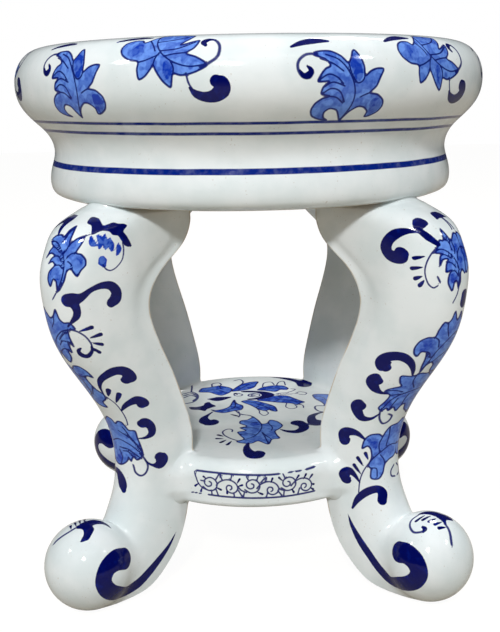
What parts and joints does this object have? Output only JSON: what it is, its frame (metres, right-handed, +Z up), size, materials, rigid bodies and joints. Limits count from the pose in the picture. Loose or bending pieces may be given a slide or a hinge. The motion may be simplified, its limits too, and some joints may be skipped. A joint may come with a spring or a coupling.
{
  "type": "ceramic garden stool",
  "caption": "Round ceramic garden stool with a rolled rim, cabriole legs on scroll feet and a round lower shelf, glazed white with blue painted leaves.",
  "frame": {"origin": "on the floor, on the vertical axis through the middle of the seat", "axes": "+Z up along the seat's axis, -Y towards the front, +X to the right; the four legs stand at 45 degrees to X and Y"},
  "size_m": [0.381, 0.381, 0.432],
  "materials": {
    "painted_glaze": "glossy clear glaze over white clay, with cobalt leaves, scrolls and lines painted under it",
    "plain_glaze": "glossy clear glaze over white clay, unpainted",
    "slip_joint": "luting slip smoothed to a fillet and glazed over",
    "bare_clay": "matt fired clay under the seat, thinly glazed"
  },
  "bodies": {
    "root": {"seat_top": "painted_glaze", "seat_drum": "painted_glaze", "seat_floor": "bare_clay", "shelf_top": "painted_glaze", "shelf_underside": "plain_glaze", "shelf_wall_front": "painted_glaze", "shelf_wall_right": "painted_glaze", "shelf_wall_rear": "painted_glaze", "shelf_wall_left": "painted_glaze", "front_left_leg_outer": "painted_glaze", "front_left_leg_inner": "plain_glaze", "front_left_foot_scroll": "painted_glaze", "front_left_seat_joint": "slip_joint", "front_left_shelf_joint": "slip_joint", "front_right_leg_outer": "painted_glaze", "front_right_leg_inner": "plain_glaze", "front_right_foot_scroll": "painted_glaze", "front_right_seat_joint": "slip_joint", "front_right_shelf_joint": "slip_joint", "rear_left_leg_outer": "painted_glaze", "rear_left_leg_inner": "plain_glaze", "rear_left_foot_scroll": "painted_glaze", "rear_left_seat_joint": "slip_joint", "rear_left_shelf_joint": "slip_joint", "rear_right_leg_outer": "painted_glaze", "rear_right_leg_inner": "plain_glaze", "rear_right_foot_scroll": "painted_glaze", "rear_right_seat_joint": "slip_joint", "rear_right_shelf_joint": "slip_joint"}
  },
  "joints": []
}
